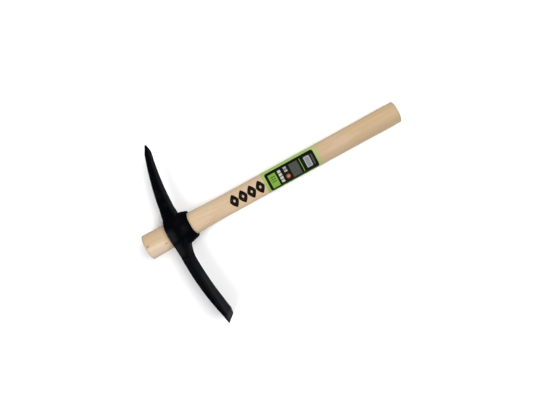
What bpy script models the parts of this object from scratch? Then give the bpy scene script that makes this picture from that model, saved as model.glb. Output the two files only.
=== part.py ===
"""Pick mattock with a slip-fit forged head on a short oval handle. Metres, +Z up.

The tool lies on its side. The handle runs along +X from the middle of its flat top end, which stands
out of the head's eye, to the grip. The pick points along +Y and the mattock blade along -Y. The plane
Z = 0 halves the tool. The handle is thickest at the top end, so the head drops over the grip end and
jams on the taper.
"""

import math

import bmesh
import bpy
from mathutils import Matrix

# Fit
FIT_GAP = 0.0003  # running clearance between touching pieces

# Handle
HANDLE_LENGTH = 0.600
TOP_WIDTH = 0.0572  # along Y at the top end
TOP_DEPTH = 0.0430  # along Z at the top end
GRIP_WIDTH = 0.0464
GRIP_DEPTH = 0.0358
SWELL_WIDTH = 0.0477  # at the grip end
SWELL_DEPTH = 0.0372
TAPER_LENGTH = 0.190  # from the top end to where the taper has run out
TAPER_POWER = 1.2
SWELL_LENGTH = 0.100  # from the grip end
END_CHAMFER = 0.0018
OVAL_POWER = 2.2  # 2 is an ellipse, more is fuller
OVAL_POINTS = 48
TAPER_STEPS = 12
SWELL_STEPS = 6

# Wrap label
LABEL_START = 0.286
LABEL_LENGTH = 0.129
LABEL_THICKNESS = 0.0003
LABEL_SEAM = 0.014  # bare wood left between its two long edges, at the back
LABEL_STEPS = 44

# Eye and collar
EYE_TOP = 0.0554  # where the eye's top face stands, at its middle
EYE_HEIGHT = 0.0552  # from the top face to the collar's mouth
COLLAR_HEIGHT = 0.0228  # the part of it that tapers down to the mouth
CHEEK_WALL = 0.0082  # at the sides that face up and down, Z
SHOULDER_WALL = 0.0102  # at the sides that carry the arms, Y
COLLAR_WALL = 0.0046  # at the mouth
COLLAR_POWER = 1.15  # how late the collar's wall thins
CROWN_POWER = 3  # how late the top face drops to the arms
CHEEK_BARREL = 0.0008  # swell of the cheeks at half their height
TOP_ROUND = 0.0026
LIP_ROUND = 0.0018
MOUTH_SCALLOP = 0.0032  # how far the cheeks' rim stands back from the rim at the arms
ROUND_STEPS = 4
CHEEK_STEPS = 4
COLLAR_STEPS = 4
BORE_STEPS = 8
BORE_OVERRUN = 0.010  # how far the bore's cutter runs past both faces

# Arms, shared
BEND_RADIUS = 0.635  # both arms bend towards the grip on this radius
BLEND_INSIDE = 0.0130  # the arms thicken along Z into the cheeks from this far inside the eye's shoulder
BLEND_OUTSIDE = 0.0180  # to this far outside it
BLEND_CORNER = 0.0080  # rounding of the arms' long edges where they leave the cheeks
BLEND_SINK = 0.0004  # how deep the arms' roots lie under the cheeks
OUTER_THROAT = 0.0019  # how far the arms' outer faces rise to the eye's top
OUTER_THROAT_LENGTH = 0.026
THROAT_POWER = 2.5  # how soon the arms' fillets fade
ARM_STATIONS = 16
STATION_POWER = 1.35  # more sets the stations closer together at the eye
MOST_CORNER = 0.45  # of a section's thickness, so that its long edges never meet
POINT_STEPS = 5
BEVEL_STEPS = 3
CORNER_STEPS = 3

# Pick arm
PICK_REACH = 0.1960  # from the handle's axis to the tip
PICK_ROOT_MIDDLE = 0.0740  # X of the arm's middle at the eye
PICK_LEAN = 0.050  # slope of the arm's middle at the eye, towards the grip
PICK_ROOT_THICKNESS = 0.0286  # along X
PICK_ROOT_DEPTH = 0.0250  # along Z
PICK_POINT_THICKNESS = 0.0135
PICK_POINT_DEPTH = 0.0140
PICK_POINT_LENGTH = 0.0190
PICK_TIP_THICKNESS = 0.0034
PICK_TIP_DEPTH = 0.0042
PICK_NOSE = 0.0030  # how far the outer face turns in towards the tip
PICK_POINT_POWER = 1.4  # how late the point thins
PICK_CORNER = 0.0046  # width of the rounded long edges
PICK_THROAT = 0.0020  # fillet between the arm and the collar
PICK_THROAT_LENGTH = 0.020

# Mattock arm
MATTOCK_REACH = 0.2190  # from the handle's axis to the cutting edge
MATTOCK_ROOT_MIDDLE = 0.0664
MATTOCK_LEAN = -0.024
MATTOCK_ROOT_THICKNESS = 0.0211
MATTOCK_ROOT_DEPTH = 0.0290
MATTOCK_BLADE_THICKNESS = 0.0090  # where the bevel starts
MATTOCK_THIN_POWER = 1.4  # how late the arm thins
MATTOCK_EDGE_WIDTH = 0.0710  # along Z
MATTOCK_EDGE_THICKNESS = 0.0020
MATTOCK_BEVEL_LENGTH = 0.0160
MATTOCK_FLARE_POWER = 0.80  # how late the blade widens
MATTOCK_CORNER = 0.0038
MATTOCK_THROAT = 0.0078
MATTOCK_THROAT_LENGTH = 0.040

SMOOTH_ANGLE = math.radians(32)


def lerp(start, end, share):
    return start + (end - start) * share


def clamped(share):
    return min(1.0, max(0.0, share))


def eased(share):
    """0 to 1 with a level start and end."""
    share = clamped(share)
    return share * share * (3 - 2 * share)


def clear_scene():
    for item in list(bpy.data.objects):
        bpy.data.objects.remove(item, do_unlink=True)


def painted(name, colour, roughness, metallic):
    material = bpy.data.materials.new(name)
    material.use_nodes = True
    shader = material.node_tree.nodes["Principled BSDF"]
    shader.inputs["Base Color"].default_value = (*colour, 1)
    shader.inputs["Roughness"].default_value = roughness
    shader.inputs["Metallic"].default_value = metallic
    material.diffuse_color = (*colour, 1)
    return material


def named_object(name, bm, material=None):
    """Closes the bmesh into an object, with smooth faces and sharp edges by angle."""
    bmesh.ops.recalc_face_normals(bm, faces=bm.faces)
    mesh = bpy.data.meshes.new(name)
    bm.to_mesh(mesh)
    bm.free()
    mesh.shade_smooth()
    mesh.set_sharp_from_angle(angle=SMOOTH_ANGLE)
    item = bpy.data.objects.new(name, mesh)
    bpy.context.scene.collection.objects.link(item)
    if material:
        mesh.materials.append(material)
    return item


def empty_at(name, x, parent=None):
    item = bpy.data.objects.new(name, None)
    item.empty_display_size = 0.03
    item.location = (x, 0, 0)
    item.parent = parent
    bpy.context.scene.collection.objects.link(item)
    return item


def helper(item):
    """A shape that is only joined to or cut from another one."""
    item.hide_render = True
    item.display_type = "WIRE"
    return item


def skin(bm, rings):
    """Quads between neighbouring closed rings."""
    loops = [[bm.verts.new(point) for point in ring] for ring in rings]
    for lower, upper in zip(loops, loops[1:]):
        for here in range(len(lower)):
            after = (here + 1) % len(lower)
            bm.faces.new((lower[here], lower[after], upper[after], upper[here]))
    return loops


def cap(bm, loop, mirror_turn=0):
    """Closes a ring with strips between points that mirror each other, so that a bent end stays exact.

    With mirror_turn 0 the strips run along Z, and with a quarter of the ring's points along Y.
    """
    count = len(loop)
    turned = loop[mirror_turn:] + loop[:mirror_turn]
    for here in range(count // 2 - 1):
        bm.faces.new((turned[here], turned[here + 1], turned[count - 2 - here], turned[count - 1 - here]))


def oval_point(turn, half_width, half_depth):
    """(y, z) on the oval, at an angle from +Y."""
    across = math.copysign(abs(math.cos(turn)) ** (2 / OVAL_POWER), math.cos(turn))
    up = math.copysign(abs(math.sin(turn)) ** (2 / OVAL_POWER), math.sin(turn))
    return half_width * across, half_depth * up


def oval_ring(x_of, half_width, half_depth):
    """Points of an oval square to X. x_of gives X for each (y, z)."""
    ring = []
    for step in range(OVAL_POINTS):
        y, z = oval_point(2 * math.pi * (step + 0.5) / OVAL_POINTS, half_width, half_depth)
        ring.append((x_of(y, z), y, z))
    return ring


def handle_half(x, end_size, grip_size, swell_size):
    """Half the handle's width or depth at x."""
    taper = (1 - clamped(x / TAPER_LENGTH)) ** TAPER_POWER
    swell = eased((x - HANDLE_LENGTH + SWELL_LENGTH) / SWELL_LENGTH)
    return (grip_size + (end_size - grip_size) * taper + (swell_size - grip_size) * swell) / 2


def handle_half_width(x):
    return handle_half(x, TOP_WIDTH, GRIP_WIDTH, SWELL_WIDTH)


def handle_half_depth(x):
    return handle_half(x, TOP_DEPTH, GRIP_DEPTH, SWELL_DEPTH)


def handle_ring(x, grow=0.0):
    """The handle's own oval at x, grown all round."""
    return oval_ring(lambda y, z: x, handle_half_width(x) + grow, handle_half_depth(x) + grow)


def make_handle(material):
    """Oval handle: a long taper, a plain grip with a slight swell, and eased ends."""
    stations = [TAPER_LENGTH * step / TAPER_STEPS for step in range(1, TAPER_STEPS + 1)]
    stations += [HANDLE_LENGTH - SWELL_LENGTH * step / SWELL_STEPS for step in range(SWELL_STEPS, 0, -1)]
    rings = [handle_ring(0, -END_CHAMFER), handle_ring(END_CHAMFER)]
    rings += [handle_ring(x) for x in stations]
    rings += [handle_ring(HANDLE_LENGTH - END_CHAMFER), handle_ring(HANDLE_LENGTH, -END_CHAMFER)]
    bm = bmesh.new()
    loops = skin(bm, rings)
    cap(bm, loops[0])
    cap(bm, loops[-1])
    return named_object("wooden_handle", bm, material)


def label_arc(x, grow):
    """The handle's oval at x, grown all round and open at the back, -Z, where the label's long edges stop."""
    half_width, half_depth = handle_half_width(x) + grow, handle_half_depth(x) + grow
    opening = math.asin((LABEL_SEAM / 2 / half_width) ** (OVAL_POWER / 2))
    start, end = opening - math.pi / 2, 3 * math.pi / 2 - opening
    turns = [lerp(start, end, step / LABEL_STEPS) for step in range(LABEL_STEPS + 1)]
    return [(x, *oval_point(turn, half_width, half_depth)) for turn in turns]


def make_label(material):
    """Thin wrap round the grip's plain stretch: a C-shaped section, drawn out along the handle."""
    rings = []
    for x in (LABEL_START, LABEL_START + LABEL_LENGTH):
        outer = label_arc(x, FIT_GAP + LABEL_THICKNESS)
        rings.append(outer + label_arc(x, FIT_GAP)[::-1])
    bm = bmesh.new()
    for loop in skin(bm, rings):
        for here in range(LABEL_STEPS):
            bm.faces.new((loop[here], loop[here + 1], loop[-here - 2], loop[-here - 1]))
    return named_object("wrap_label", bm, material)


def wall_at(x, wall):
    """Thickness of the eye's wall at x: full down to the collar, then thinner towards its mouth."""
    collar_start = EYE_TOP + EYE_HEIGHT - COLLAR_HEIGHT
    thinning = clamped((x - collar_start) / COLLAR_HEIGHT) ** COLLAR_POWER
    return lerp(wall, COLLAR_WALL, thinning)


def eye_half_width(x):
    return handle_half_width(x) + FIT_GAP + wall_at(x, SHOULDER_WALL)


def eye_half_depth(x):
    cheek_height = EYE_HEIGHT - COLLAR_HEIGHT
    barrel = CHEEK_BARREL * math.sin(math.pi * clamped((x - EYE_TOP) / cheek_height))
    return handle_half_depth(x) + FIT_GAP + wall_at(x, CHEEK_WALL) + barrel


def shoulder():
    """Y of the eye's side, where the arms start."""
    return eye_half_width(EYE_TOP + (EYE_HEIGHT - COLLAR_HEIGHT) / 2)


def arm_middle(beyond, root_middle, lean):
    """X of an arm's middle, at a distance beyond the eye's shoulder: an arc of the shared bend."""
    return root_middle + lean * beyond + beyond * abs(beyond) / (2 * BEND_RADIUS)


def crown(y, z):
    """How far the eye's top face drops from its middle to the arms' outer faces."""
    pick_outer = PICK_ROOT_MIDDLE - PICK_ROOT_THICKNESS / 2
    mattock_outer = MATTOCK_ROOT_MIDDLE - MATTOCK_ROOT_THICKNESS / 2
    drop = (pick_outer if y > 0 else mattock_outer) - OUTER_THROAT - EYE_TOP
    return drop * abs(y / shoulder()) ** CROWN_POWER


def make_eye(material):
    """Oval eye and collar as one turned-in shape, still solid, with a crowned top and a scalloped mouth."""
    mouth = EYE_TOP + EYE_HEIGHT
    rings = []
    for step in range(ROUND_STEPS + 1):
        turn = math.pi / 2 * step / ROUND_STEPS
        inset, drop = TOP_ROUND * (1 - math.sin(turn)), TOP_ROUND * (1 - math.cos(turn))
        x = EYE_TOP + drop
        ring = oval_ring(lambda y, z: x + crown(y, z), eye_half_width(x) - inset, eye_half_depth(x) - inset)
        rings.append(ring)
    collar_start = mouth - COLLAR_HEIGHT
    # The crown fades out over the cheeks' height.
    for step in range(1, CHEEK_STEPS + 1):
        share = step / CHEEK_STEPS
        x = lerp(EYE_TOP + TOP_ROUND, collar_start, share)
        ring = oval_ring(lambda y, z: x + crown(y, z) * (1 - share), eye_half_width(x), eye_half_depth(x))
        rings.append(ring)
    for step in range(1, COLLAR_STEPS + 1):
        share = step / COLLAR_STEPS
        x = lerp(collar_start, mouth - LIP_ROUND, share)
        depth = eye_half_depth(x)
        ring = oval_ring(lambda y, z: x - MOUTH_SCALLOP * share * (z / depth) ** 2, eye_half_width(x), depth)
        rings.append(ring)
    for step in range(1, ROUND_STEPS + 1):
        turn = math.pi / 2 * step / ROUND_STEPS
        inset, rise = LIP_ROUND * (1 - math.cos(turn)), LIP_ROUND * math.sin(turn)
        x = mouth - LIP_ROUND + rise
        depth = eye_half_depth(x) - inset
        ring = oval_ring(lambda y, z: x - MOUTH_SCALLOP * (z / depth) ** 2, eye_half_width(x) - inset, depth)
        rings.append(ring)
    bm = bmesh.new()
    loops = skin(bm, rings)
    cap(bm, loops[0])
    cap(bm, loops[-1], mirror_turn=OVAL_POINTS // 4)
    return named_object("pick_mattock_head", bm, material)


def rounded_section(y, low_x, high_x, half_depth, corner):
    """A rectangle square to Y, with its long edges rounded."""
    corner = min(corner, MOST_CORNER * min(high_x - low_x, 2 * half_depth))
    centres = (
        (high_x - corner, half_depth - corner, 0),
        (low_x + corner, half_depth - corner, 1),
        (low_x + corner, corner - half_depth, 2),
        (high_x - corner, corner - half_depth, 3),
    )
    section = []
    for x, z, quarter in centres:
        for step in range(CORNER_STEPS + 1):
            turn = math.pi / 2 * (quarter + step / CORNER_STEPS)
            section.append((x + corner * math.cos(turn), y, z + corner * math.sin(turn)))
    return section


def cheek_half_depth(y):
    """Half the eye's depth at y, over the middle of the cheeks."""
    middle = EYE_TOP + (EYE_HEIGHT - COLLAR_HEIGHT) / 2
    return eye_half_depth(middle) * (1 - (y / shoulder()) ** OVAL_POWER) ** (1 / OVAL_POWER)


def blend_left(beyond):
    """1 at the arms' roots inside the eye, fading to 0 where the arms have their own section."""
    return clamped((BLEND_OUTSIDE - beyond) / (BLEND_INSIDE + BLEND_OUTSIDE)) ** 2


def throat(beyond, size, length):
    """A fillet that fades out along an arm."""
    return size * clamped(1 - max(0, beyond) / length) ** THROAT_POWER


def blended_section(y, beyond, low_x, high_x, half_depth, root_half_depth, corner):
    """An arm's section, deepened and rounded near the eye so that its root meets the cheeks."""
    left = blend_left(beyond)
    rise = cheek_half_depth(shoulder() - BLEND_INSIDE) - BLEND_SINK - root_half_depth
    low_x -= throat(beyond, OUTER_THROAT, OUTER_THROAT_LENGTH)
    return rounded_section(y, low_x, high_x, half_depth + rise * left, lerp(corner, BLEND_CORNER, left))


def arm_distances(length):
    """Distances beyond the shoulder, from inside the eye to the arm's end, closer together at the eye."""
    span = BLEND_INSIDE + length
    shares = [step / (ARM_STATIONS - 1) for step in range(ARM_STATIONS)]
    return [span * share**STATION_POWER - BLEND_INSIDE for share in shares]


def make_pick():
    """Square tapering arm that bends towards the grip. Its inner face is cut back to the point."""
    length = PICK_REACH - shoulder()
    body = length - PICK_POINT_LENGTH
    sections = []
    for beyond in arm_distances(body):
        share = clamped(beyond / body)
        middle = arm_middle(beyond, PICK_ROOT_MIDDLE, PICK_LEAN)
        half = lerp(PICK_ROOT_THICKNESS, PICK_POINT_THICKNESS, share) / 2
        depth = lerp(PICK_ROOT_DEPTH, PICK_POINT_DEPTH, share) / 2
        high_x = middle + half + throat(beyond, PICK_THROAT, PICK_THROAT_LENGTH)
        y = shoulder() + beyond
        section = blended_section(y, beyond, middle - half, high_x, depth, PICK_ROOT_DEPTH / 2, PICK_CORNER)
        sections.append(section)
    for step in range(1, POINT_STEPS + 1):
        share = step / POINT_STEPS
        thinning = share**PICK_POINT_POWER
        beyond = body + PICK_POINT_LENGTH * share
        middle = arm_middle(beyond, PICK_ROOT_MIDDLE, PICK_LEAN)
        outer = middle - PICK_POINT_THICKNESS / 2 + PICK_NOSE * share
        thickness = lerp(PICK_POINT_THICKNESS, PICK_TIP_THICKNESS, thinning)
        depth = lerp(PICK_POINT_DEPTH, PICK_TIP_DEPTH, thinning) / 2
        corner = PICK_CORNER * thickness / PICK_POINT_THICKNESS
        sections.append(rounded_section(shoulder() + beyond, outer, outer + thickness, depth, corner))
    return helper(arm_object("pick_arm", sections))


def make_mattock():
    """Flat arm that thins and widens into the blade, with its bevel ground on the side towards the grip."""
    length = MATTOCK_REACH - shoulder()
    body = length - MATTOCK_BEVEL_LENGTH
    sections = []
    for beyond in arm_distances(body):
        share = clamped(beyond / body)
        middle = arm_middle(beyond, MATTOCK_ROOT_MIDDLE, MATTOCK_LEAN)
        thinning = share**MATTOCK_THIN_POWER
        half = lerp(MATTOCK_ROOT_THICKNESS, MATTOCK_BLADE_THICKNESS, thinning) / 2
        high_x = middle + half + throat(beyond, MATTOCK_THROAT, MATTOCK_THROAT_LENGTH)
        depth = mattock_half_depth(beyond, length)
        y = -shoulder() - beyond
        section = blended_section(
            y, beyond, middle - half, high_x, depth, MATTOCK_ROOT_DEPTH / 2, MATTOCK_CORNER
        )
        sections.append(section)
    for step in range(1, BEVEL_STEPS + 1):
        share = step / BEVEL_STEPS
        beyond = body + MATTOCK_BEVEL_LENGTH * share
        outer = arm_middle(beyond, MATTOCK_ROOT_MIDDLE, MATTOCK_LEAN) - MATTOCK_BLADE_THICKNESS / 2
        thickness = lerp(MATTOCK_BLADE_THICKNESS, MATTOCK_EDGE_THICKNESS, share)
        corner = MATTOCK_CORNER * thickness / MATTOCK_BLADE_THICKNESS
        depth = mattock_half_depth(beyond, length)
        sections.append(rounded_section(-shoulder() - beyond, outer, outer + thickness, depth, corner))
    return helper(arm_object("mattock_arm", sections))


def arm_object(name, sections):
    bm = bmesh.new()
    loops = skin(bm, sections)
    bm.faces.new(loops[0])
    bm.faces.new(loops[-1])
    return named_object(name, bm)


def mattock_half_depth(beyond, length):
    share = clamped(beyond / length) ** MATTOCK_FLARE_POWER
    return lerp(MATTOCK_ROOT_DEPTH, MATTOCK_EDGE_WIDTH, share) / 2


def make_bore():
    """The eye's hole: the handle's own taper, grown by the clearance, run out past both faces."""
    start, end = EYE_TOP - BORE_OVERRUN, EYE_TOP + EYE_HEIGHT + BORE_OVERRUN
    stations = [lerp(start, end, step / BORE_STEPS) for step in range(BORE_STEPS + 1)]
    bm = bmesh.new()
    loops = skin(bm, [handle_ring(x, FIT_GAP) for x in stations])
    cap(bm, loops[0])
    cap(bm, loops[-1])
    return helper(named_object("eye_bore", bm))


def combine(target, other, operation):
    modifier = target.modifiers.new(other.name, "BOOLEAN")
    modifier.operation = operation
    modifier.object = other
    modifier.solver = "EXACT"


def make_head(material):
    """One forging: the eye joined to both arms, then bored for the handle."""
    head = make_eye(material)
    combine(head, make_pick(), "UNION")
    combine(head, make_mattock(), "UNION")
    combine(head, make_bore(), "DIFFERENCE")
    return head


def main():
    clear_scene()
    wood = painted("pale hardwood", (0.70, 0.53, 0.36), 0.55, 0.0)
    paint = painted("black forge paint", (0.012, 0.013, 0.016), 0.42, 0.0)
    film = painted("printed film", (0.30, 0.58, 0.08), 0.35, 0.0)
    tool = empty_at("tool", 0)
    slide = empty_at("head_slide_axis", EYE_TOP, tool)
    make_handle(wood).parent = tool
    make_label(film).parent = tool
    head = make_head(paint)
    # The head's own origin sits on the slide's axis, and so do the shapes joined to it.
    for item in (head, *(modifier.object for modifier in head.modifiers)):
        item.data.transform(Matrix.Translation((-EYE_TOP, 0, 0)))
        item.parent = slide


main()
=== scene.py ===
# Looks for the pick mattock: forged head, wooden handle and printed wrap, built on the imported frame.
# Metres, in the CAD's own frame: +X runs along the handle to the grip end, +Y to the pick, -Y to the
# mattock blade, and +Z is the side that the photograph shows, called the upper side here.
# Colours are linear. A pair of limits says where a pattern starts and where it is full, in that order.

import math
from collections import namedtuple

import bmesh
import bpy
import numpy as np
from mathutils import Matrix, Vector, noise


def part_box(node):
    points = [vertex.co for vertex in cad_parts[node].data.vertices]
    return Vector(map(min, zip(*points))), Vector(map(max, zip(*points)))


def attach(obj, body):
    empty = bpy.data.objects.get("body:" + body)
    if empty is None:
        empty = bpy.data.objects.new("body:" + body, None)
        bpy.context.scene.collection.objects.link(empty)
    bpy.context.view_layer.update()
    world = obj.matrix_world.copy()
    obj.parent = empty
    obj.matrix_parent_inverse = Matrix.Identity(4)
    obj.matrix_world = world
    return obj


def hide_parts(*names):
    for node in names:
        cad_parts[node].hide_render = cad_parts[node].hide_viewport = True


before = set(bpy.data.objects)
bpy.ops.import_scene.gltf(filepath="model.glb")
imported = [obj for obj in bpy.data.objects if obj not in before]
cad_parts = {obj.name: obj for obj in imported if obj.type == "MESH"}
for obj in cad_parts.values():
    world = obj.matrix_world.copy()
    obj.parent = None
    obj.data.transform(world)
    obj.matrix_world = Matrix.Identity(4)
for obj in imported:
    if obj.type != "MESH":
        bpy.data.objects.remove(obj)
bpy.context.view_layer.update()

MM = 0.001

Wave = namedtuple("Wave", "stretch seed")  # noise in a shape, with its rate along each axis
Noise = namedtuple("Noise", "along across detail roughness", defaults=(2, 0.5))  # in a pattern, per metre
Patch = namedtuple("Patch", "middle half corner soft")

# Picture
PICTURE_WIDTH = 534  # pixels
CAMERA_PLACE = (0.3021, -0.0331, 0.8861)
CAMERA_TURN = (-0.0154, 0.0288, -0.5002)  # about X, then Y, then Z, in radians
FOCAL_PIXELS = 415.9
SENSOR_WIDTH = 36  # mm

# Handle's shape
OVAL_POWER = 2.2  # 2 is an ellipse, more is fuller
HANDLE_AROUND = 144
HANDLE_STEP = 1.5 * MM
END_STEP = 0.5 * MM  # near the two ends
END_FINE = 14 * MM  # how far the finer steps reach
END_ROUND = 1.8 * MM
END_ROUND_STEPS = 7
END_RINGS = 20
PROFILE_STEP = 0.5 * MM
PROFILE_SMOOTHING = 12 * MM
SAME_RING = 0.05 * MM  # CAD points this near each other along X are on one ring
RING_DECIMALS = 5  # of a metre, to which a ring's place is rounded
SANDING_DEPTH = 0.13 * MM
SANDING_RIPPLE = 0.25 * SANDING_DEPTH
SANDING_BROAD = Wave((9, 1.4, 1.4), (3.1, 7.7, 1.9))
SANDING_NARROW = Wave((22, 5.0, 5.0), (8.3, 2.2, 4.6))
KNOT_AT = (6.5 * MM, 1.0 * MM)  # X and Y of the pin knot, on the upper side
KNOT_RADIUS = 1.3 * MM
KNOT_DEPTH = 0.25 * MM
KNOT_FALL = 1.5  # more makes the hollow steeper
KNOT_LIP = 0.35  # the lip's height over the hollow's depth
KNOT_LIP_REACH = 1.5  # in radii
KNOT_LIP_FALL = 3
SAW_RIPPLE = 0.035 * MM  # of the year rings on a sawn end
SAW_ROUGHNESS = 0.02 * MM
SAW_MARKS = Wave((0, 900, 260), (1.7, 5.2, 9.4))
SAW_RISE = 3  # the ripples are at full height a third of the way in from the edge

# Wood's pattern
UPPER_SIDE = (0, 2 * MM)  # limits in Z of what only the upper side has, on wood and paint
PITH_AT = (12 * MM, -62 * MM)  # Y and Z of the tree's middle at the handle's top end
PITH_DRIFT = (-0.006, 0.010)  # Y and Z that it gains for each metre of X
RING_SPACING = 2.3 * MM
RING_WANDER = 6 * MM
LATE_WOOD = (0.35, 0.92)  # limits of a year ring's dark part, as shares of the ring
LATE_WOOD_END = (1.0, 0.94)
WOOD_FADE = (0.1, 0.95)  # shares of the length between which the top end's colour turns into the grip's
WOOD_FADE_WANDER = 0.5
BROWN_ACROSS = (-3 * MM, 6 * MM)  # limits in Y of the browner wood at the top end, on the pick's side
BROWN_ALONG = (75 * MM, 40 * MM)  # and in X
PAINTED_SHADE_ACROSS = (2 * MM, -16 * MM)  # limits in Y of the painted shade on the grip's side towards the blade
PAINTED_SHADE_ALONG = (300 * MM, 430 * MM)
PAINTED_NARROW_SHADE = (0.72, 1.0)  # limits of the normal's Y on the handle's two narrow sides, which get a painted shade, greyed like a grazing sheen
PAINTED_END_SHADE_REACH = (5.5 * MM, 6 * MM)  # where the painted shade at the rounded ends starts, from the top end and from the grip end
PAINTED_END_SHADE_FULL = 1.5 * MM
SAWN_REACH = (1.2 * MM, 1.2 * MM)  # where the sawn faces' colour starts
SAWN_FULL = 0.2 * MM
KNOT_SQUEEZE = 0.8  # less draws the knot's colour out along the handle
KNOT_HALO = (3.4 * KNOT_RADIUS, 0.8 * KNOT_RADIUS)
KNOT_CORE = (1.15 * KNOT_RADIUS, 0.6 * KNOT_RADIUS)
SMEAR_AT = (43.5 * MM, -11.5 * MM)  # X and Y of paint rubbed on the wood next to the eye
SMEAR_SQUEEZE = 0.6
SMEAR_EDGE = (6 * MM, 3 * MM)
SMEAR_WANDER = 6 * MM
# Painted highlight: a paler band on the upper side of the top end, towards the blade
PAINTED_HIGHLIGHT_BAND = Patch((8 * MM, -8 * MM), (34 * MM, 5 * MM), 3 * MM, 2.5 * MM)
# Painted sheen: a paler, greyer patch on the top end's side towards the blade
PAINTED_SHEEN_PATCH = Patch((6 * MM, -20 * MM), (34 * MM, 6 * MM), 4 * MM, 3.5 * MM)
WOOD_NOISES = {
    "bend": Noise(3, 30, 3),  # of the year rings
    "fibre": Noise(10, 850, 3, 0.6),
    "streak": Noise(2.6, 120, 3, 0.55),
    "patch": Noise(7, 34),
    "hue": Noise(5, 170),
    "pore": Noise(75, 2300, 1),
    "saw": Noise(300, 2100, 1),
    "smear": Noise(160, 420, 3),
    "print": Noise(700, 700),
}
WOOD_LIMITS = {  # mask: its noise and the limits in it
    "streak": ("streak", 0.42, 0.68),
    "patch": ("patch", 0.55, 0.75),
    "reddish": ("hue", 0.52, 0.7),
    "yellowish": ("hue", 0.48, 0.32),
    "fibre": ("fibre", 0.5, 0.8),
    "pore": ("pore", 0.66, 0.76),
    "saw dot": ("saw", 0.60, 0.72),
}

# Wood's colours and surface
WOOD_TOP = (0.529, 0.410, 0.276)
WOOD_GRIP = (0.456, 0.326, 0.194)
SAWN_WOOD = (0.368, 0.25, 0.147)
INK = (0.0028, 0.0015, 0.0008)
WOOD_LAYERS = (  # mask, strength and colour, from the lowest up
    ("streak", 0.55, (0.441, 0.308, 0.184)),
    ("patch", 0.5, (0.544, 0.405, 0.308)),
    ("reddish", 0.35, (0.544, 0.368, 0.272)),
    ("yellowish", 0.35, (0.5, 0.397, 0.221)),
    ("late wood", 0.13, (0.346, 0.213, 0.11)),
    ("fibre", 0.28, (0.353, 0.235, 0.133)),
    ("pore", 0.35, (0.206, 0.125, 0.066)),
    ("brown side", 0.55, (0.441, 0.312, 0.187)),
    # painted shade on the grip's side towards the blade
    ("painted shade side", 0.5, (0.31, 0.235, 0.145)),
    # painted highlight on the top end's upper side
    ("painted highlight band", 0.5, (0.625, 0.5, 0.382)),
    # painted sheen on the top end's side towards the blade
    ("painted sheen patch", 0.6, (0.535, 0.430, 0.345)),
    # painted shade on the narrow sides, greyed like a grazing sheen
    ("painted narrow shade", 0.45, (0.36, 0.325, 0.270)),
    # painted shade near the rounded ends
    ("painted end shade", 0.35, (0.29, 0.245, 0.180)),
)
SAWN_LAYERS = (
    ("late wood", 0.55, (0.243, 0.147, 0.074)),
    ("saw dot", 0.6, (0.147, 0.088, 0.0441)),
)
MARK_LAYERS = (
    ("knot halo", 0.45, (0.308, 0.184, 0.096)),
    ("knot core", 0.9, (0.074, 0.0404, 0.0221)),
    ("smear", 0.5, (0.117, 0.096, 0.081)),
)
SAWN_STRENGTH = 0.9  # of the sawn faces' colours over the rest
INK_GAPS = 0.35  # share of the ink that is missing over the pores
WOOD_FINISH = {"Specular IOR Level": 0.06, "Coat Weight": 0.04, "Coat Roughness": 0.35}
WOOD_ROUGHNESS = 0.46
FIBRE_ROUGHNESS, SAWN_ROUGHNESS, INK_ROUGHNESS = 0.16, 0.25, -0.05  # added to it
FIBRE_BUMP = 0.05 * MM
PORE_DEPTH = 0.8  # over the fibres' height
STREAK_BUMP = 0.10 * MM
LATE_WOOD_HEIGHT = 0.6  # over the streaks' height

# Print on the wood: a row of diamonds
PRINT_START = 202.5 * MM
PRINT_COUNT = 4
PRINT_PITCH = 20.6 * MM
PRINT_NARROWING = 1.04  # the pitch over a diamond's width
PRINT_HEIGHT = 29 * MM
PRINT_MIDDLE = -2.1 * MM  # Y
PRINT_BULGE = 1.3  # 1 gives straight sides, more gives fuller ones
PRINT_EDGE = (1.02, 0.98)  # limits of the ink, as the bulged reach from a diamond's middle
PRINT_OPENING = (0.13, 0.18)  # and where the open middle ends
PRINT_ROUGHNESS = 0.5 * MM
PRINT_CORNER = 1 * MM
PRINT_SOFTNESS = 0.1 * MM

# Wrap label
FILM_GAP = 0.06 * MM
FILM_THICKNESS = 0.14 * MM
FILM_ALONG = 150
FILM_AROUND = 150
FILM_ANGLES = 400  # in the table of distances round the handle
FILM_CORNER = 3.0 * MM
FILM_CORNER_STEPS = 8
FILM_LIFT = 0.16 * MM  # of the edges
FILM_LIFT_REACH = 5 * MM
FILM_LIFT_SHARE, FILM_LIFT_SWING = 0.55, 0.45  # the lift's mean, and how far it goes either side of it
FILM_LIFTS = Wave((60, 60, 1), (4.4, 0.3, 6.1))
FILM_WRINKLE = 0.03 * MM
FILM_WRINKLES = Wave((45, 130, 1), (9.2, 3.3, 0.7))
FILM_SEAM_DEPTH = 0.9  # deeper than this share of the label lie only the strips beside its seam
FILM_OUTWARDS = 1.5  # turns the film's growth square to the oval: its width over its depth, squared

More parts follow.
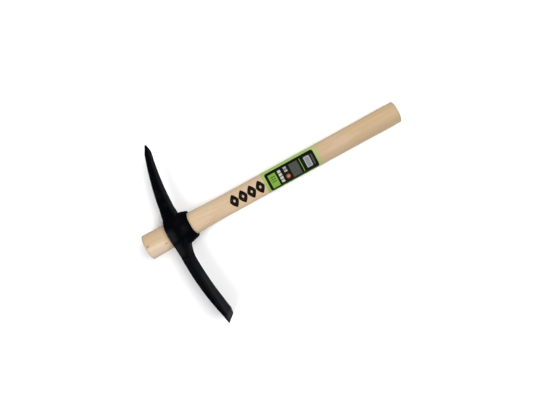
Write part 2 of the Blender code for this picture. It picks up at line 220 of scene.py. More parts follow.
# Film's print, in mm along the film from its end near the head, and across it from the middle of the
# upper side towards the blade. Bars are counted from a block's own low end, and fill is their share.
Bars = namedtuple("Bars", "pitch fill way", defaults=("across",))
Block = namedtuple("Block", "along across corner colour bars", defaults=(None,))
FILM_BLOCKS = (
    Block((6, 120), (-17.5, 25.5), 5, (0.0036, 0.0052, 0.0016)),  # dark panel
    Block((12, 29), (-10.5, 20), 0.8, (0.154, 0.3, 0.0385)),  # green card
    Block((15, 26), (-6, 9), 0.8, (0.0385, 0.092, 0.0154), Bars(5, 0.42)),
    Block((34, 41), (-11, 18), 1.5, (0.400, 0.405, 0.370), Bars(7.25, 0.78)),  # pale bars
    Block((46.5, 56.5), (5.5, 15.5), 5, (0.231, 0.058, 0.0385)),  # red disc
    Block((49, 54), (8, 13), 2.5, (0.347, 0.169, 0.131)),
    Block((48, 55), (-12, 1), 1.5, (0.277, 0.277, 0.277), Bars(6.5, 0.75)),  # grey squares
    Block((61, 81), (-11, 19), 0.5, (0.115, 0.12, 0.11), Bars(2.5, 0.45)),  # grey lines
    Block((86, 87.4), (-12, 19), 0.4, (0.154, 0.277, 0.0462)),  # thin green line
    Block((95, 108), (-9, 15), 1.6, (0.293, 0.293, 0.293)),  # grey card
    Block((97.5, 105.5), (-6.5, 12.5), 0.5, (0.0462, 0.0462, 0.0462), Bars(2, 0.4, "along")),
    Block((111, 114.5), (-9, 15), 0.5, (0.092, 0.092, 0.092), Bars(2.4, 0.5)),
)
FILM_SOFTNESS = 0.14 * MM
FILM_GREEN = (0.277, 0.385, 0.108)
FILM_END = (0.393, 0.393, 0.185)  # towards the grip's end of the film
FILM_END_START = 0.8  # of the film's length
FILM_CLOUD = (0.339, 0.431, 0.154)
FILM_CLOUD_STRENGTH = 0.25
FILM_PAINTED_SHADE = (0.78, 0.83, 0.72)  # painted shade: darkens the ground towards the blade's side
FILM_PAINTED_SHADE_ACROSS = (-20 * MM, 24 * MM)
FILM_CLOUDS = Noise(40, 40)
FILM_GRAIN = Noise(420, 420)
FILM_GRAIN_BUMP = 0.03 * MM
FILM_FINISH = {"Specular IOR Level": 0.07}
FILM_ROUGHNESS, FILM_CLOUD_ROUGHNESS = 0.30, 0.15

# Head's shape
HEAD_MERGE = 0.001 * MM
HEAD_VOXEL = 0.85 * MM
HEAD_SMOOTHING = 12  # passes
HEAD_SMOOTH_FACTOR = 0.5
FORGE_DEPTH = 0.16 * MM
FORGE_BROAD = Wave(62, (2.0, 5.0, 8.0))
FORGE_FINE_DEPTH = 0.035 * MM
FORGE_FINE = Wave(330, (6.0, 1.0, 3.0))
EYE_SKIN = 1.12  # where the uneven skin starts outside the eye, with 1 on the handle's oval
EYE_SKIN_RISE = 0.2  # until it is in full, in the same measure
ARM_START, ARM_END = 34 * MM, 190 * MM  # from the handle's axis, where the arms get fuller
ARM_START_FADE, ARM_END_FADE = 12 * MM, 15 * MM
PICK_FULLNESS = (0.9 * MM, 1.0 * MM)  # for what the remesh takes off, on the top end's side and the grip's
BLADE_FULLNESS = (0.1 * MM, 0.6 * MM)
EDGE_EASE = 0.8 * MM  # taken off the arms' upper edge on the grip's side

# Head's paint
PAINT_NOISES = {
    "cloud": Noise(38, 38, 4),
    "patch": Noise(75, 75, 3, 0.6),
    "scale": Noise(260, 260, 3, 0.6),
    "speck": Noise(900, 900),
}
PAINT_LIMITS = {"cloud": ("cloud", 0.35, 0.7), "patch": ("patch", 0.56, 0.72), "speck": ("speck", 0.66, 0.8)}
HIGHLIGHT_SOFTNESS = 5 * MM
HIGHLIGHT_CORNER = 1.1 * HIGHLIGHT_SOFTNESS
HIGHLIGHT_RAGGEDNESS = 14 * MM
PAINTED_HIGHLIGHTS = {  # painted highlights on the upper side, as patches of paler paint
    "cheek highlight": Patch((62 * MM, -5 * MM), (8 * MM, 14 * MM), HIGHLIGHT_CORNER, HIGHLIGHT_SOFTNESS),
    "root highlight": Patch((61 * MM, -38 * MM), (7 * MM, 13 * MM), HIGHLIGHT_CORNER, HIGHLIGHT_SOFTNESS),
    "collar highlight": Patch((93 * MM, -3 * MM), (7 * MM, 7 * MM), HIGHLIGHT_CORNER, HIGHLIGHT_SOFTNESS),
    # painted sheen over the blade's upper faces
    "blade sheen": Patch((80 * MM, -85 * MM), (34 * MM, 52 * MM), HIGHLIGHT_CORNER, HIGHLIGHT_SOFTNESS),
}
SIDE_SHEEN_TURN = (0.25, 0.55)  # limits of the normal's X on the arms' long sides, where a painted sheen makes the paint paler
SIDE_SHEEN_REACH = (20 * MM, 45 * MM)  # from the handle's axis, where those sides start
SIDE_SHEEN_CHANGE = (-10 * MM, 10 * MM)  # Y between which the blade's share turns into the pick's
SIDE_SHEEN_ON_BLADE, SIDE_SHEEN_ON_PICK = 0.42, 0.80
SIDE_SHEEN_LEAST, SIDE_SHEEN_CLOUD = 0.45, 1.5  # how it is mottled
GROUND_EDGE = (-198 * MM, -207 * MM)  # limits in Y of the blade's ground edge
GROUND_LEAST = 0.3
DULL_ALONG = (70 * MM, 80 * MM)  # limits in X of the duller paint on the blade's grip side
DULL_OUTER = (-106 * MM, -88 * MM)  # limits in Y at its far end
DULL_INNER = (-44 * MM, -58 * MM)  # and at its near end
PAINT_BLACK = (0.0009, 0.0010, 0.0018)
# colour of the painted highlights
HIGHLIGHT_TONE = (0.0096, 0.0096, 0.0112)
PAINT_LAYERS = (  # mask, strength and colour, from the lowest up
    ("cloud", 1.0, (0.0014, 0.0015, 0.0026)),
    ("patch", 0.7, (0.005, 0.005, 0.0073)),
    # painted highlights on the cheek, the mattock's root and the collar
    ("cheek highlight", 1.0, HIGHLIGHT_TONE),
    ("root highlight", 0.8, HIGHLIGHT_TONE),
    ("collar highlight", 0.35, HIGHLIGHT_TONE),
    # painted sheen over the blade's upper faces
    ("blade sheen", 0.12, HIGHLIGHT_TONE),
    # painted sheen on the arms' long sides
    ("side sheen", 1.0, (0.0072, 0.0073, 0.0092)),
    ("ground edge", 1.0, (0.014, 0.0142, 0.0155)),
    ("speck", 0.5, (0.0108, 0.0108, 0.0123)),
)
PAINT_FINISH = {"Specular IOR Level": 0.011}
PAINT_ROUGHNESS = 0.46
CLOUD_ROUGHNESS, SCALE_ROUGHNESS, DULL_ROUGHNESS = 0.12, 0.12, 0.4  # added to it
SCALE_BUMP = 0.22 * MM
SPECK_BUMP = 0.05 * MM

# Studio
FLOOR_SIZE = 60  # metres
FLOOR_GAP = 0.2 * MM
FLOOR_COLOURS = (0.935, 0.935, 0.94), (0.95, 0.95, 0.95)
FLOOR_CLOUDS = Noise(3, 3, 3)
FLOOR_FINISH = {"Roughness": 0.85}
DOME_RING = 0.55  # brightness of the dome round the sides
DOME_TOP = 0.35  # and overhead, where the camera is
DOME_FADE = (0.50, 0.92)  # sines of the heights between which it fades
SUNS = (  # azimuth from +X towards +Y, elevation, strength and width, with the angles in degrees
    ("key", 6, 54, 2.60, 42),
    ("fill", 205, 50, 1.30, 34),
)


def eased(share):
    """0 to 1 with a level start and end, for numbers and arrays."""
    share = np.clip(share, 0, 1)
    return share * share * (3 - 2 * share)


def waves(points, wave):
    """Smooth noise from -1 to 1 at each point."""
    places = np.asarray(points) * wave.stretch + wave.seed
    return np.array([noise.noise(Vector(place)) for place in places])


def cad_points(node):
    return np.array([vertex.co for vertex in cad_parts[node].data.vertices])


def new_object(name, points, faces):
    mesh = bpy.data.meshes.new(name)
    mesh.from_pydata([tuple(point) for point in points], [], faces)
    mesh.validate()
    item = bpy.data.objects.new(name, mesh)
    bpy.context.scene.collection.objects.link(item)
    bm = bmesh.new()
    bm.from_mesh(mesh)
    bmesh.ops.recalc_face_normals(bm, faces=bm.faces)
    bm.to_mesh(mesh)
    bm.free()
    mesh.shade_smooth()
    return item


# Handle


def smooth_profile():
    """The CAD handle's half width and half depth, read off its rings and freed of their corners."""
    points = cad_points("wooden_handle")
    stations = np.unique(np.round(points[:, 0], RING_DECIMALS))[1:-1]  # without the chamfered end faces
    rings = [points[np.abs(points[:, 0] - station) < SAME_RING] for station in stations]
    fine = np.arange(-PROFILE_SMOOTHING, stations[-1] + PROFILE_SMOOTHING, PROFILE_STEP)
    odd_count = round(PROFILE_SMOOTHING / PROFILE_STEP) | 1
    window = np.hanning(odd_count)
    profile = []
    for axis in (1, 2):
        sizes = np.interp(fine, stations, [np.abs(ring[:, axis]).max() for ring in rings])
        padded = np.pad(sizes, odd_count // 2, mode="reflect", reflect_type="odd")
        profile.append(np.convolve(padded, window / window.sum(), mode="valid"))
    return fine, profile[0], profile[1]


PROFILE_X, PROFILE_WIDTH, PROFILE_DEPTH = smooth_profile()


def handle_halves(x):
    return np.interp(x, PROFILE_X, PROFILE_WIDTH), np.interp(x, PROFILE_X, PROFILE_DEPTH)


def oval(turns, half_width, half_depth):
    """Y and Z on the handle's oval at angles from +Y."""
    across = np.sign(np.cos(turns)) * np.abs(np.cos(turns)) ** (2 / OVAL_POWER)
    up = np.sign(np.sin(turns)) * np.abs(np.sin(turns)) ** (2 / OVAL_POWER)
    return half_width * across, half_depth * up


def sanding(x, turns):
    """How far the sanded surface wanders from its true oval. The broad waves only go inwards."""
    around = np.stack([np.full(len(turns), x), np.cos(turns), np.sin(turns)], axis=1)
    broad, narrow = waves(around, SANDING_BROAD), waves(around, SANDING_NARROW)
    return SANDING_DEPTH * (broad - 1) + SANDING_RIPPLE * narrow


def knot_dip(x, y, z):
    """The pin knot's small hollow with a raised lip."""
    radii = np.hypot(x - KNOT_AT[0], y - KNOT_AT[1]) / KNOT_RADIUS
    lip = KNOT_LIP * np.exp(-((radii - KNOT_LIP_REACH) ** 2) * KNOT_LIP_FALL)
    hollow = np.exp(-(radii**2) * KNOT_FALL)
    return np.where(z > 0, KNOT_DEPTH * (lip - hollow), 0.0)


def handle_ring(x, turns):
    """Points round the sanded handle at x."""
    half_width, half_depth = handle_halves(x)
    y, z = oval(turns, half_width, half_depth)
    out = sanding(x, turns) + knot_dip(x, y, z)
    normal = np.stack([y / half_width**2, z / half_depth**2], axis=1)
    normal /= np.linalg.norm(normal, axis=1)[:, None]
    return np.stack([np.full(len(turns), x), y + normal[:, 0] * out, z + normal[:, 1] * out], axis=1)


def handle_stations(length):
    """X of each plain ring: close together near the ends, where the knot and the eased edges are."""
    start = np.arange(END_ROUND, END_FINE, END_STEP)
    middle = np.arange(END_FINE, length - END_FINE, HANDLE_STEP)
    return np.concatenate([start, middle, length - start[::-1]])


def sawn_ripple(ring, facing):
    """How far a ring of a sawn end face lies from the true face, into the wood."""
    from_pith = np.hypot(ring[:, 1] - PITH_AT[0], ring[:, 2] - PITH_AT[1])
    growth = 0.5 + 0.5 * np.sin(2 * math.pi * from_pith / RING_SPACING)
    rough = waves(ring, SAW_MARKS)
    return -facing * (SAW_RIPPLE * growth + SAW_ROUGHNESS * (rough + 1))


def rounded_end(last, face_x, facing):
    """Rings from the last plain ring over the eased edge, then inwards over the sawn face."""
    centre = last.mean(axis=0)
    sizes = np.abs(last - centre).max(axis=0)
    made = []
    for step in range(1, END_ROUND_STEPS + 1):
        turn = math.pi / 2 * step / END_ROUND_STEPS
        inset = END_ROUND * (1 - math.cos(turn))
        ring = centre + (last - centre) * (1 - inset / sizes.clip(MM))
        ring[:, 0] = face_x - facing * END_ROUND * (1 - math.sin(turn))
        made.append(ring)
    edge = made[-1]
    for step in range(1, END_RINGS):
        ring = centre + (edge - centre) * (1 - step / END_RINGS)
        from_edge = 1 - np.abs(ring[0] - centre)[1] / sizes[1]
        ring[:, 0] = face_x + sawn_ripple(ring, facing) * min(1, SAW_RISE * from_edge)
        made.append(ring)
    return made


def tube_faces(rings, around):
    """Quads between neighbouring closed rings, numbered ring by ring."""
    faces = []
    for ring in range(rings - 1):
        for here in range(around):
            after = (here + 1) % around
            low, high = ring * around, (ring + 1) * around
            faces.append((low + here, low + after, high + after, high + here))
    return faces


def make_handle():
    """The handle with sanding waves, rounded ends, sawn end faces and a pin knot."""
    low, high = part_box("wooden_handle")
    turns = 2 * math.pi * (np.arange(HANDLE_AROUND) + 0.5) / HANDLE_AROUND
    body = [handle_ring(x, turns) for x in handle_stations(high.x - low.x)]
    top = rounded_end(body[0], low.x, -1)
    grip = rounded_end(body[-1], high.x, 1)
    rings = top[::-1] + body + grip
    points = list(np.concatenate(rings))
    faces = tube_faces(len(rings), HANDLE_AROUND)
    for first, ring in ((0, rings[0]), (len(points) - HANDLE_AROUND, rings[-1])):
        middle = len(points)
        points.append(ring.mean(axis=0))
        for here in range(HANDLE_AROUND):
            after = (here + 1) % HANDLE_AROUND
            faces.append((first + here, first + after, middle))
    return new_object("oval_handle", points, faces)


# Wrap label


def film_angles(low, high):
    """Rising angles round the handle from one side of the label's seam to the other."""
    points = cad_points("wrap_label")
    seam = np.abs(points[points[:, 2] < FILM_SEAM_DEPTH * low.z][:, 1]).min()
    half_width, _ = handle_halves((low.x + high.x) / 2)
    opening = math.asin((seam / half_width) ** (OVAL_POWER / 2))
    return np.linspace(opening - math.pi / 2, 3 * math.pi / 2 - opening, FILM_ANGLES)


def film_stations(length):
    """Distances along the film of its rows of points, close together in its rounded corners."""
    quarter = np.linspace(0, math.pi / 2, FILM_CORNER_STEPS + 1)[:-1]
    ends = FILM_CORNER * (1 - np.cos(quarter))
    middle = np.linspace(FILM_CORNER, length - FILM_CORNER, FILM_ALONG)
    return np.concatenate([ends, middle, length - ends[::-1]])


def arc_table(x, turns):
    """Distances round the handle at x for rising angles, from 0 at the middle of the upper side."""
    ring = handle_ring(x, turns)
    steps = np.linalg.norm(np.diff(ring, axis=0), axis=1)
    arcs = np.concatenate([[0], np.cumsum(steps)])
    return arcs - np.interp(math.pi / 2, turns, arcs)


def film_row(x, along, length, table):
    """One row's inner and outer points, and its places on the flat film."""
    arcs = arc_table(x, table)
    edge = min(along, length - along)
    inward = max(0.0, FILM_CORNER - edge)
    trim = FILM_CORNER - math.sqrt(FILM_CORNER**2 - inward**2)
    spots = np.linspace(arcs[0] + trim, arcs[-1] - trim, FILM_AROUND)
    from_edge = np.minimum(edge, np.minimum(spots - arcs[0], arcs[-1] - spots))
    flat = np.stack([np.full(FILM_AROUND, x), spots, np.zeros(FILM_AROUND)], axis=1)
    lift = FILM_LIFT * (1 - eased(from_edge / FILM_LIFT_REACH))
    lift *= FILM_LIFT_SHARE + FILM_LIFT_SWING * waves(flat, FILM_LIFTS)
    wrinkle = FILM_WRINKLE * (1 + waves(flat, FILM_WRINKLES))
    ring = handle_ring(x, np.interp(spots, arcs, table))
    out = ring * (0, 1, FILM_OUTWARDS)
    out /= np.linalg.norm(out, axis=1)[:, None]
    inner = ring + out * (FILM_GAP + lift + wrinkle)[:, None]
    outer = inner + out * FILM_THICKNESS
    return inner, outer, np.stack([np.full(FILM_AROUND, along), spots], axis=1)


def shell_faces(rows, around):
    """Quads of an outer sheet, of the inner sheet numbered after it, and of the edges between them."""
    faces = []
    under = rows * around
    for row in range(rows - 1):
        for here in range(around - 1):
            a = row * around + here
            b = a + around
            faces.append((a, a + 1, b + 1, b))
            faces.append((a + under, b + under, b + 1 + under, a + 1 + under))
        for a in (row * around, row * around + around - 1):
            faces.append((a, a + around, a + around + under, a + under))
    for row in (0, rows - 1):
        for here in range(around - 1):
            a = row * around + here
            faces.append((a, a + 1, a + 1 + under, a + under))
    return faces


def make_label():
    """Printed film that follows the wood, with rounded corners and edges that lift a little."""
    low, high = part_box("wrap_label")
    length = high.x - low.x
    table = film_angles(low, high)
    rows = [film_row(low.x + along, along, length, table) for along in film_stations(length)]
    inner, outer, flat = (np.concatenate(part) for part in zip(*rows))
    label = new_object("printed_wrap", np.concatenate([outer, inner]), shell_faces(len(rows), FILM_AROUND))
    layer = label.data.uv_layers.new(name="film")
    places = np.concatenate([flat, flat])
    for loop in label.data.loops:
        layer.data[loop.index].uv = places[loop.vertex_index]
    return label


# Head


def remeshed(node, name):
    """A new object with a CAD node's shape, in small even faces with soft edges."""
    bm = bmesh.new()
    bm.from_mesh(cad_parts[node].data)
    bmesh.ops.remove_doubles(bm, verts=bm.verts, dist=HEAD_MERGE)
    mesh = bpy.data.meshes.new(name)
    bm.to_mesh(mesh)
    bm.free()
    blank = bpy.data.objects.new("blank", mesh)
    bpy.context.scene.collection.objects.link(blank)
    remesh = blank.modifiers.new("even faces", "REMESH")
    remesh.mode = "VOXEL"
    remesh.voxel_size = HEAD_VOXEL
    smooth = blank.modifiers.new("soft edges", "SMOOTH")
    smooth.factor = HEAD_SMOOTH_FACTOR
    smooth.iterations = HEAD_SMOOTHING
    bpy.context.view_layer.update()
    evaluated = blank.evaluated_get(bpy.context.evaluated_depsgraph_get())
    even = bpy.data.meshes.new_from_object(evaluated)
    bpy.data.objects.remove(blank)
    item = bpy.data.objects.new(name, even)
    bpy.context.scene.collection.objects.link(item)
    return item


def vertex_values(mesh, attribute):
    values = np.empty(len(mesh.vertices) * 3)
    mesh.vertices.foreach_get(attribute, values)
    return values.reshape(-1, 3)


def forged_skin(points):
    """How far the uneven skin stands out from the true shape, everywhere but in the eye."""
    half_width, half_depth = handle_halves(points[:, 0])
    across, up = np.abs(points[:, 1]) / half_width, np.abs(points[:, 2]) / half_depth
    outside = eased((across**OVAL_POWER + up**OVAL_POWER - EYE_SKIN) / EYE_SKIN_RISE)
    broad = FORGE_DEPTH * waves(points, FORGE_BROAD)
    fine = FORGE_FINE_DEPTH * waves(points, FORGE_FINE)
    return (broad + fine) * outside


def fill_arms(points, normals):
    """Gives the arms back what the remesh took off their long sides, and eases their upper edge."""
    reach = np.abs(points[:, 1])
    along = eased((reach - ARM_START) / ARM_START_FADE) * eased((ARM_END - reach) / ARM_END_FADE)
    side = (normals[:, 0] > 0).astype(int)
    fullness = np.where(points[:, 1] > 0, np.take(PICK_FULLNESS, side), np.take(BLADE_FULLNESS, side))
    points[:, 0] += normals[:, 0] * along * fullness
    corner = 2 * normals[:, 0].clip(0) * normals[:, 2].clip(0)  # 1 where the surface turns at 45 degrees
    points -= normals * (EDGE_EASE * corner * along)[:, None]


def make_head():
    """The CAD head, remeshed so that its arms flow into the eye, with a forging's uneven skin."""
    head = remeshed("pick_mattock_head", "forged_head")
    points = vertex_values(head.data, "co")
    normals = vertex_values(head.data, "normal")
    points += normals * forged_skin(points)[:, None]
    fill_arms(points, normals)
    head.data.vertices.foreach_set("co", points.ravel())
    head.data.update()
    head.data.shade_smooth()
    return head


# Materials


class Graph:
    """One material, with short calls for the nodes that make its pattern."""

    def __init__(self, name, finish):
        self.material = bpy.data.materials.new(name)
        self.material.use_nodes = True
        self.tree = self.material.node_tree
        self.shader = self.tree.nodes["Principled BSDF"]
        for socket, value in finish.items():
            self.shade(socket, value)
        self.place = self.node("TexCoord").outputs["Object"]

    def shade(self, socket, value):
        self.put(self.shader.inputs[socket], value)

    def put(self, socket, value):
        """Links a node's output to the socket, or sets the socket's own value."""
        if isinstance(value, bpy.types.NodeSocket):
            self.tree.links.new(value, socket)
        elif socket.type == "RGBA":
            socket.default_value = (*value, 1)
        else:
            socket.default_value = value

    def node(self, kind, *values, **settings):
        made = self.tree.nodes.new("ShaderNode" + kind)
        for key, value in settings.items():
            setattr(made, key, value)
        for socket, value in zip(made.inputs, values):
            self.put(socket, value)
        return made

    def math(self, operation, *values):
        return self.node("Math", *values, operation=operation).outputs[0]

    def total(self, *values):
        whole = values[0]
        for value in values[1:]:
            whole = self.math("ADD", whole, value)
        return whole

    def product(self, *values):
        whole = values[0]
        for value in values[1:]:
            whole = self.math("MULTIPLY", whole, value)
        return whole

    def away(self, value, middle):
        """How far the value is from the middle, on either side."""
        return self.math("ABSOLUTE", self.math("SUBTRACT", value, middle))

    def swing(self, share, size):
        """A share's swing about one half, times a size."""
        return self.product(self.math("SUBTRACT", share, 0.5), size)

    def stretched(self, vector, scale):
        return self.node("VectorMath", vector, scale, operation="MULTIPLY").outputs[0]

    def split(self, vector):
        return self.node("SeparateXYZ", vector).outputs

    def noise(self, kind):
        """Soft noise from 0 to 1, of one kind of Noise."""
        made = self.node("TexNoise")
        self.put(made.inputs["Vector"], self.stretched(self.place, (kind.along, kind.across, kind.across)))
        made.inputs["Scale"].default_value = 1
        made.inputs["Detail"].default_value = kind.detail
        made.inputs["Roughness"].default_value = kind.roughness
        return made.outputs[0]

    def noises(self, kinds, limits):
        """A table's noises, and the masks that they make between limits, both by name."""
        made = {name: self.noise(kind) for name, kind in kinds.items()}
        masks = {}
        for name, (source, start, full) in limits.items():
            masks[name] = self.between(made[source], start, full)
        return made, masks

    def between(self, value, start, full):
        """0 up to the start, 1 from full on and eased between them, rising or falling."""
        return self.node("MapRange", value, start, full, interpolation_type="SMOOTHSTEP").outputs[0]

    def facing(self, axis):
        """How squarely the surface faces along an axis, either way: 0 for X, 1 for Y, 2 for Z."""
        return self.math("ABSOLUTE", self.split(self.node("TexCoord").outputs["Normal"])[axis])

    def reach(self, spot, squeeze):
        """Distance from a spot's X and Y, with X counted at a share of its length."""
        offset = self.node("VectorMath", self.place, (*spot, 0), operation="SUBTRACT").outputs[0]
        flat = self.stretched(offset, (squeeze, 1, 0))
        return self.node("VectorMath", flat, operation="LENGTH").outputs["Value"]

    def mix(self, share, first, second, blend="MIX"):
        """The second colour over the first. Inputs 6 and 7 and output 2 are the node's colour ones."""
        made = self.node("Mix", data_type="RGBA", blend_type=blend)
        self.put(made.inputs[0], share)
        self.put(made.inputs[6], first)
        self.put(made.inputs[7], second)
        return made.outputs[2]

    def layered(self, tone, layers, masks):
        """Lays colours over a tone, each by its mask and strength."""
        for name, strength, colour in layers:
            tone = self.mix(self.product(masks[name], strength), tone, colour)
        return tone

    def bump(self, height, distance, below=None):
        made = self.node("Bump")
        made.inputs["Strength"].default_value = 1
        made.inputs["Distance"].default_value = distance
        self.put(made.inputs["Height"], height)
        if below:
            self.put(made.inputs["Normal"], below)
        return made.outputs[0]

    def box(self, x, y, middle, half, corner, soft):
        """1 inside a rectangle with rounded corners, and 0 outside it."""
        beyond = []
        for value, centre, size in zip((x, y), middle, half):
            past_corner = self.math("SUBTRACT", self.away(value, centre), size - corner)
            beyond.append(self.math("MAXIMUM", past_corner, 0.0))
        squares = self.total(*(self.product(value, value) for value in beyond))
        return self.between(self.math("SQRT", squares), corner + soft, corner - soft)

    def stripes(self, value, start, pitch, fill, soft):
        """1 on evenly spaced bars, each fill of its pitch wide, and 0 between them."""
        share = self.math("FRACT", self.math("DIVIDE", self.math("SUBTRACT", value, start), pitch))
        return self.between(self.away(share, 0.5), fill / 2 + soft / pitch, fill / 2 - soft / pitch)


def late_wood(graph, x, y, z, bend):
    """1 on the dark part of each year ring, and 0 on its pale part."""
    side = graph.total(y, -PITH_AT[0], graph.product(x, -PITH_DRIFT[0]))
    height = graph.total(z, -PITH_AT[1], graph.product(x, -PITH_DRIFT[1]))
    from_pith = graph.math("SQRT", graph.total(graph.product(side, side), graph.product(height, height)))
    rings = graph.math("DIVIDE", graph.total(from_pith, graph.swing(bend, RING_WANDER)), RING_SPACING)
    share = graph.math("FRACT", rings)
    return graph.product(graph.between(share, *LATE_WOOD), graph.between(share, *LATE_WOOD_END))


def near_ends(graph, x, length, reaches, full):
    """1 within full of either end of the handle, and 0 beyond the two reaches."""
    top, grip = reaches
    return graph.total(graph.between(x, top, full), graph.between(x, length - grip, length - full))


def print_mask(graph, x, y, rough):
    """A row of bold diamonds with open middles and rough edges."""
    shift = graph.swing(rough, PRINT_ROUGHNESS)
    x, y = graph.total(x, shift), graph.total(y, shift)
    cell = graph.math("FRACT", graph.math("DIVIDE", graph.math("SUBTRACT", x, PRINT_START), PRINT_PITCH))
    across = graph.product(graph.away(cell, 0.5), 2 * PRINT_NARROWING)
    up = graph.product(graph.away(y, PRINT_MIDDLE), 2 / PRINT_HEIGHT)
    reach = graph.total(*(graph.math("POWER", value, PRINT_BULGE) for value in (across, up)))
    diamonds = graph.product(graph.between(reach, *PRINT_EDGE), graph.between(reach, *PRINT_OPENING))
    half = PRINT_COUNT * PRINT_PITCH / 2
    middle = (PRINT_START + half, PRINT_MIDDLE)
    row = graph.box(x, y, middle, (half, PRINT_HEIGHT), PRINT_CORNER, PRINT_SOFTNESS)
    return graph.product(diamonds, row)


def wood_material(length):
    """Pale hardwood, sanded and thinly lacquered: growth rings, fibres, pores, a knot and the print."""
    graph = Graph("pale hardwood", WOOD_FINISH)
    x, y, z = graph.split(graph.place)
    noises, masks = graph.noises(WOOD_NOISES, WOOD_LIMITS)
    upper = graph.between(z, *UPPER_SIDE)
    sawn = near_ends(graph, x, length, SAWN_REACH, SAWN_FULL)
    knot = graph.reach(KNOT_AT, KNOT_SQUEEZE)
    smear = graph.total(graph.reach(SMEAR_AT, SMEAR_SQUEEZE), graph.product(noises["smear"], SMEAR_WANDER))
    masks.update({
        "late wood": late_wood(graph, x, y, z, noises["bend"]),
        "brown side": graph.product(graph.between(y, *BROWN_ACROSS), graph.between(x, *BROWN_ALONG)),
        # painted shade on the grip's side towards the blade
        "painted shade side": graph.product(graph.between(y, *PAINTED_SHADE_ACROSS), graph.between(x, *PAINTED_SHADE_ALONG)),
        # painted highlight on the top end's upper side
        "painted highlight band": graph.product(graph.box(x, y, *PAINTED_HIGHLIGHT_BAND), upper),
        # painted sheen on the top end's side towards the blade
        "painted sheen patch": graph.box(x, y, *PAINTED_SHEEN_PATCH),
        # painted shade on the narrow sides
        "painted narrow shade": graph.between(graph.facing(1), *PAINTED_NARROW_SHADE),
        # painted shade near the rounded ends
        "painted end shade": near_ends(graph, x, length, PAINTED_END_SHADE_REACH, PAINTED_END_SHADE_FULL),
        "knot halo": graph.product(graph.between(knot, *KNOT_HALO), upper),
        "knot core": graph.product(graph.between(knot, *KNOT_CORE), upper),
        "smear": graph.product(graph.between(smear, *SMEAR_EDGE), upper),
    })
    ink_left = graph.total(1.0, graph.product(masks["pore"], -INK_GAPS))
    ink = graph.product(print_mask(graph, x, y, noises["print"]), upper, ink_left)

    along = graph.total(graph.math("DIVIDE", x, length), graph.swing(noises["patch"], WOOD_FADE_WANDER))
    tone = graph.mix(graph.between(along, *WOOD_FADE), WOOD_TOP, WOOD_GRIP)
    tone = graph.layered(tone, WOOD_LAYERS, masks)
    end_tone = graph.layered(SAWN_WOOD, SAWN_LAYERS, masks)
    tone = graph.mix(graph.product(sawn, SAWN_STRENGTH), tone, end_tone)
    tone = graph.layered(tone, MARK_LAYERS, masks)
    graph.shade("Base Color", graph.mix(ink, tone, INK))

    rougher = (
        graph.product(noises["fibre"], FIBRE_ROUGHNESS),
        graph.product(sawn, SAWN_ROUGHNESS),
        graph.product(ink, INK_ROUGHNESS),
    )
    graph.shade("Roughness", graph.total(WOOD_ROUGHNESS, *rougher))
    fibres = graph.total(noises["fibre"], graph.product(masks["pore"], -PORE_DEPTH))
    streaks = graph.total(graph.product(masks["late wood"], LATE_WOOD_HEIGHT), noises["streak"])
    graph.shade("Normal", graph.bump(streaks, STREAK_BUMP, graph.bump(fibres, FIBRE_BUMP)))
    return graph.material


def side_sheen_mask(graph, y, cloud):
    """Painted sheen on the arms' long sides: paler paint, mottled, and more of it on the pick."""
    sides = graph.between(graph.facing(0), *SIDE_SHEEN_TURN)
    arms = graph.between(graph.math("ABSOLUTE", y), *SIDE_SHEEN_REACH)
    mottled = graph.total(SIDE_SHEEN_LEAST, graph.product(cloud, SIDE_SHEEN_CLOUD))
    more_on_pick = graph.product(graph.between(y, *SIDE_SHEEN_CHANGE), SIDE_SHEEN_ON_PICK - SIDE_SHEEN_ON_BLADE)
    return graph.product(sides, arms, mottled, graph.total(SIDE_SHEEN_ON_BLADE, more_on_pick))


def paint_material():
    """Black satin paint over a forged skin, with painted highlights and sheen on the upper side and the
    arms' sides, and paler at the ground edge.
    """
    graph = Graph("black satin paint", PAINT_FINISH)
    x, y, z = graph.split(graph.place)
    noises, masks = graph.noises(PAINT_NOISES, PAINT_LIMITS)
    upper = graph.between(z, *UPPER_SIDE)
    ragged = graph.swing(noises["patch"], HIGHLIGHT_RAGGEDNESS)
    # painted highlights, and the blade's painted sheen, on the upper side
    highlight_x, highlight_y = graph.total(x, ragged), graph.total(y, ragged)
    for name, patch in PAINTED_HIGHLIGHTS.items():
        masks[name] = graph.product(graph.box(highlight_x, highlight_y, *patch), upper)
    # painted sheen on the arms' long sides
    masks["side sheen"] = side_sheen_mask(graph, y, noises["cloud"])
    ground = graph.total(GROUND_LEAST, noises["cloud"])
    masks["ground edge"] = graph.product(graph.between(y, *GROUND_EDGE), ground)
    graph.shade("Base Color", graph.layered(PAINT_BLACK, PAINT_LAYERS, masks))

    ends = graph.product(graph.between(y, *DULL_OUTER), graph.between(y, *DULL_INNER))
    rougher = (
        graph.product(noises["cloud"], CLOUD_ROUGHNESS),
        graph.product(noises["scale"], SCALE_ROUGHNESS),
        graph.product(ends, graph.between(x, *DULL_ALONG), DULL_ROUGHNESS),
    )
    graph.shade("Roughness", graph.total(PAINT_ROUGHNESS, *rougher))
    graph.shade("Normal", graph.bump(noises["scale"], SCALE_BUMP, graph.bump(noises["speck"], SPECK_BUMP)))
    return graph.material


def film_block(graph, along, across, block):
    """1 on a block of the film's print, or only on its bars where it has some."""
    spans = (block.along, block.across)
    middle = [(start + stop) / 2 * MM for start, stop in spans]
    half = [(stop - start) / 2 * MM for start, stop in spans]
    mask = graph.box(along, across, middle, half, block.corner * MM, FILM_SOFTNESS)
    if not block.bars:
        return mask
    pitch, fill, way = block.bars
    value, span = (along, block.along) if way == "along" else (across, block.across)
    return graph.product(mask, graph.stripes(value, span[0] * MM, pitch * MM, fill, FILM_SOFTNESS))


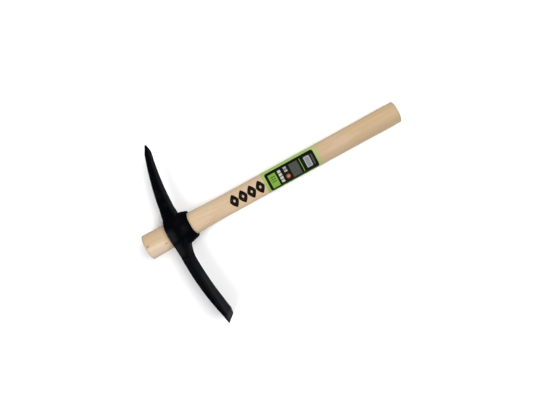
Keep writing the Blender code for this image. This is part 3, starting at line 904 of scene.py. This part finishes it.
def film_material(length):
    """Printed film: green ground, dark panel and plain blocks, bars and a disc."""
    graph = Graph("printed film", FILM_FINISH)
    along, across, _ = graph.split(graph.node("UVMap", uv_map="film").outputs[0])
    cloud = graph.noise(FILM_CLOUDS)
    tone = graph.mix(graph.between(along, FILM_END_START * length, length), FILM_GREEN, FILM_END)
    tone = graph.mix(graph.product(cloud, FILM_CLOUD_STRENGTH), tone, FILM_CLOUD)
    # painted shade towards the blade's side
    tone = graph.mix(graph.between(across, *FILM_PAINTED_SHADE_ACROSS), tone, FILM_PAINTED_SHADE, "MULTIPLY")
    for block in FILM_BLOCKS:
        tone = graph.mix(film_block(graph, along, across, block), tone, block.colour)
    graph.shade("Base Color", tone)
    graph.shade("Roughness", graph.total(FILM_ROUGHNESS, graph.product(cloud, FILM_CLOUD_ROUGHNESS)))
    graph.shade("Normal", graph.bump(graph.noise(FILM_GRAIN), FILM_GRAIN_BUMP))
    return graph.material


def floor_material():
    graph = Graph("pale floor", FLOOR_FINISH)
    graph.shade("Base Color", graph.mix(graph.noise(FLOOR_CLOUDS), *FLOOR_COLOURS))
    return graph.material


# Floor, light and camera


def make_floor():
    """A plane that touches the head and the grip end, as when the tool lies on its side."""
    head_low, head_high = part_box("pick_mattock_head")
    _, handle_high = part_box("wooden_handle")
    grip_x = handle_high.x - END_ROUND
    _, grip_half = handle_halves(grip_x)
    blade_x = (head_low.x + head_high.x) / 2
    fall = (-grip_half - head_low.z) / (grip_x - blade_x)
    bpy.ops.mesh.primitive_plane_add(size=FLOOR_SIZE)
    floor = bpy.context.object
    floor.name = "floor"
    floor.rotation_euler.y = -math.atan(fall)
    floor.location = (blade_x, 0, head_low.z - FLOOR_GAP)
    floor.data.materials.append(floor_material())


def make_sun(name, azimuth, elevation, strength, width):
    """Soft daylight from one side."""
    sun = bpy.data.objects.new(name, bpy.data.lights.new(name, "SUN"))
    sun.data.energy = strength
    sun.data.angle = math.radians(width)
    turn, rise = math.radians(azimuth), math.radians(elevation)
    sun.location = (math.cos(turn) * math.cos(rise), math.sin(turn) * math.cos(rise), math.sin(rise))
    sun.rotation_euler = (-sun.location).to_track_quat("-Z", "Y").to_euler()
    bpy.context.scene.collection.objects.link(sun)


def make_dome():
    """A white dome that lights the sides more than the top."""
    world = bpy.data.worlds.new("studio")
    world.use_nodes = True
    tree = world.node_tree
    direction = tree.nodes.new("ShaderNodeSeparateXYZ")
    tree.links.new(tree.nodes.new("ShaderNodeTexCoord").outputs["Generated"], direction.inputs[0])
    dome = tree.nodes.new("ShaderNodeMapRange")
    dome.interpolation_type = "SMOOTHSTEP"
    limits = {"From Min": DOME_FADE[0], "From Max": DOME_FADE[1], "To Min": DOME_RING, "To Max": DOME_TOP}
    for socket, value in limits.items():
        dome.inputs[socket].default_value = value
    tree.links.new(direction.outputs["Z"], dome.inputs[0])
    tree.links.new(dome.outputs[0], tree.nodes["Background"].inputs["Strength"])
    tree.nodes["Background"].inputs["Color"].default_value = (1, 1, 1, 1)
    bpy.context.scene.world = world


def make_light():
    make_dome()
    for sun in SUNS:
        make_sun(*sun)
    bpy.context.scene.view_settings.view_transform = "Standard"
    bpy.context.scene.cycles.use_denoising = True


def make_camera():
    camera = bpy.data.objects.new("camera", bpy.data.cameras.new("camera"))
    camera.data.sensor_width = SENSOR_WIDTH
    camera.data.lens = SENSOR_WIDTH * FOCAL_PIXELS / PICTURE_WIDTH
    about_x, about_y, about_z = (Matrix.Rotation(turn, 4, axis) for turn, axis in zip(CAMERA_TURN, "XYZ"))
    camera.matrix_world = Matrix.Translation(CAMERA_PLACE) @ about_z @ about_y @ about_x
    bpy.context.scene.collection.objects.link(camera)
    bpy.context.scene.camera = camera


def dress(piece, body, node, material):
    """Puts a finished piece in the place of its CAD node."""
    piece.data.materials.clear()
    piece.data.materials.append(material)
    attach(piece, body)
    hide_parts(node)


def main():
    handle_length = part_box("wooden_handle")[1].x
    label_low, label_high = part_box("wrap_label")
    dress(make_handle(), "handle", "wooden_handle", wood_material(handle_length))
    dress(make_label(), "handle", "wrap_label", film_material(label_high.x - label_low.x))
    dress(make_head(), "head", "pick_mattock_head", paint_material())
    make_floor()
    make_light()
    make_camera()


main()
